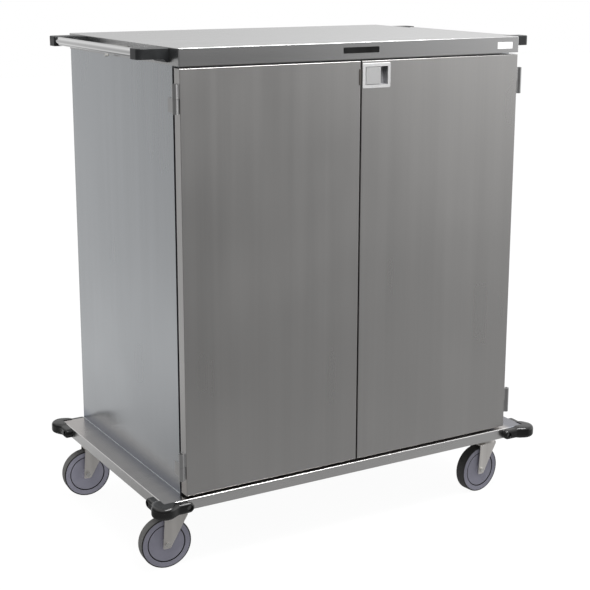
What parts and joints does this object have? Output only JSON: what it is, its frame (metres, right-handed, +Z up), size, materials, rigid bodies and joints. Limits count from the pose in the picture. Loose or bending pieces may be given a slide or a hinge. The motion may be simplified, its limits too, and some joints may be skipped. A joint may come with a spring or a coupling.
{
  "type": "housekeeping cart",
  "caption": "Enclosed stainless steel service cart with two hinged doors, inner shelves, end push bars, corner bumpers and swivel casters.",
  "frame": {"origin": "on the floor under the centre of the base platform, doors closed", "axes": "+Z up, -Y towards the doors, +X towards the end with the right-hand door"},
  "size_m": [1.368, 0.868, 1.5],
  "materials": {
    "brushed_stainless": "fine straight brushed grain",
    "inner_stainless": "mill finish sheet",
    "zinc_plated_steel": "bright zinc plate",
    "hinge_stainless": "satin",
    "polished_stainless": "polished",
    "bracket_plastic": "fine moulded texture",
    "bolt_steel": "bright plate",
    "fork_stainless": "pressed satin sheet",
    "bumper_rubber": "moulded semi-gloss rubber",
    "wheel_plastic": "satin moulded thermoplastic",
    "tread_rubber": "smooth moulded tread",
    "seal_rubber": "moulded ring",
    "nameplate_black": "satin black",
    "label_white": "smooth film",
    "latch_satin_metal": "satin cast",
    "keeper_metal": "dull olive grey plate",
    "magnet_plastic": "moulded case"
  },
  "bodies": {
    "cart_body": {"back_panel": "brushed_stainless", "base_channels": "inner_stainless", "base_platform": "brushed_stainless", "bumper_bolts": "bolt_steel", "bumper_front_left": "bumper_rubber", "bumper_front_right": "bumper_rubber", "bumper_rear_left": "bumper_rubber", "bumper_rear_right": "bumper_rubber", "cabinet_floor": "inner_stainless", "cabinet_hinge_leaves": "hinge_stainless", "caster_dust_seals": "seal_rubber", "caster_plate_bolts": "zinc_plated_steel", "caster_top_plates": "zinc_plated_steel", "handle_brackets_left": "bracket_plastic", "handle_brackets_right": "bracket_plastic", "handle_screws": "zinc_plated_steel", "handle_tube_left": "polished_stainless", "handle_tube_right": "polished_stainless", "header_channel": "inner_stainless", "hold_open_clips": "zinc_plated_steel", "label_plate": "label_white", "left_side_panel": "brushed_stainless", "magnetic_catches": "magnet_plastic", "nameplate": "nameplate_black", "right_side_panel": "brushed_stainless", "shelf_clips": "zinc_plated_steel", "shelf_lower": "inner_stainless", "shelf_middle": "inner_stainless", "shelf_pilasters": "zinc_plated_steel", "shelf_upper": "inner_stainless", "top_panel": "brushed_stainless"},
    "left_door": {"left_door_shell": "brushed_stainless", "left_door_liner": "inner_stainless", "left_door_hinge_leaves": "hinge_stainless", "left_door_strike_plates": "zinc_plated_steel", "latch_keeper": "keeper_metal"},
    "right_door": {"right_door_shell": "brushed_stainless", "right_door_liner": "inner_stainless", "right_door_hinge_leaves": "hinge_stainless", "right_door_strike_plates": "zinc_plated_steel", "latch_housing": "latch_satin_metal"},
    "latch_paddle": {"latch_paddle": "latch_satin_metal"},
    "latch_bolt": {"latch_bolt": "latch_satin_metal"},
    "swivel_front_left": {"fork_front_left": "fork_stainless", "axle_front_left": "bolt_steel"},
    "wheel_front_left": {"wheel_core_front_left": "wheel_plastic", "tread_front_left": "tread_rubber"},
    "swivel_front_right": {"fork_front_right": "fork_stainless", "axle_front_right": "bolt_steel"},
    "wheel_front_right": {"wheel_core_front_right": "wheel_plastic", "tread_front_right": "tread_rubber"},
    "swivel_rear_left": {"fork_rear_left": "fork_stainless", "axle_rear_left": "bolt_steel"},
    "wheel_rear_left": {"wheel_core_rear_left": "wheel_plastic", "tread_rear_left": "tread_rubber"},
    "swivel_rear_right": {"fork_rear_right": "fork_stainless", "axle_rear_right": "bolt_steel"},
    "wheel_rear_right": {"wheel_core_rear_right": "wheel_plastic", "tread_rear_right": "tread_rubber"}
  },
  "joints": [
    {"name": "left_door_hinge", "type": "hinge", "parent": "cart_body", "child": "left_door", "pos_m": [-0.585, -0.384, 0.84], "axis": [0, 0, 1], "range_deg": [-270, 0]},
    {"name": "right_door_hinge", "type": "hinge", "parent": "cart_body", "child": "right_door", "pos_m": [0.585, -0.384, 0.84], "axis": [0, 0, 1], "range_deg": [0, 270]},
    {"name": "latch_paddle_hinge", "type": "hinge", "parent": "right_door", "child": "latch_paddle", "pos_m": [0.0185, -0.386, 1.403], "axis": [0, 0, 1], "range_deg": [-30, 0], "stiffness_Nm_per_rad": 0.4, "springref_deg": 20.05},
    {"name": "latch_bolt_slide", "type": "slide", "parent": "right_door", "child": "latch_bolt", "axis": [1, 0, 0], "range_m": [0, 0.0115]},
    {"name": "swivel_front_left_turn", "type": "hinge", "parent": "cart_body", "child": "swivel_front_left", "pos_m": [-0.568, -0.307, 0.18], "axis": [0, 0, 1], "continuous": true},
    {"name": "swivel_front_right_turn", "type": "hinge", "parent": "cart_body", "child": "swivel_front_right", "pos_m": [0.568, -0.307, 0.18], "axis": [0, 0, 1], "continuous": true},
    {"name": "swivel_rear_left_turn", "type": "hinge", "parent": "cart_body", "child": "swivel_rear_left", "pos_m": [-0.568, 0.307, 0.18], "axis": [0, 0, 1], "continuous": true},
    {"name": "swivel_rear_right_turn", "type": "hinge", "parent": "cart_body", "child": "swivel_rear_right", "pos_m": [0.568, 0.307, 0.18], "axis": [0, 0, 1], "continuous": true},
    {"name": "wheel_front_left_spin", "type": "hinge", "parent": "swivel_front_left", "child": "wheel_front_left", "pos_m": [-0.60586, -0.30369, 0.0762], "axis": [0.0872, 0.9962, 0], "continuous": true},
    {"name": "wheel_front_right_spin", "type": "hinge", "parent": "swivel_front_right", "child": "wheel_front_right", "pos_m": [0.53021, -0.31097, 0.0762], "axis": [-0.1045, 0.9945, 0], "continuous": true},
    {"name": "wheel_rear_left_spin", "type": "hinge", "parent": "swivel_rear_left", "child": "wheel_rear_left", "pos_m": [-0.60586, 0.31031, 0.0762], "axis": [0.0872, 0.9962, 0], "continuous": true},
    {"name": "wheel_rear_right_spin", "type": "hinge", "parent": "swivel_rear_right", "child": "wheel_rear_right", "pos_m": [0.53002, 0.30567, 0.0762], "axis": [-0.0349, 0.9994, 0], "continuous": true}
  ],
  "couplings": [
    {"joint": "latch_bolt_slide", "follows": "latch_paddle_hinge", "m_per_rad": -0.021581}
  ]
}
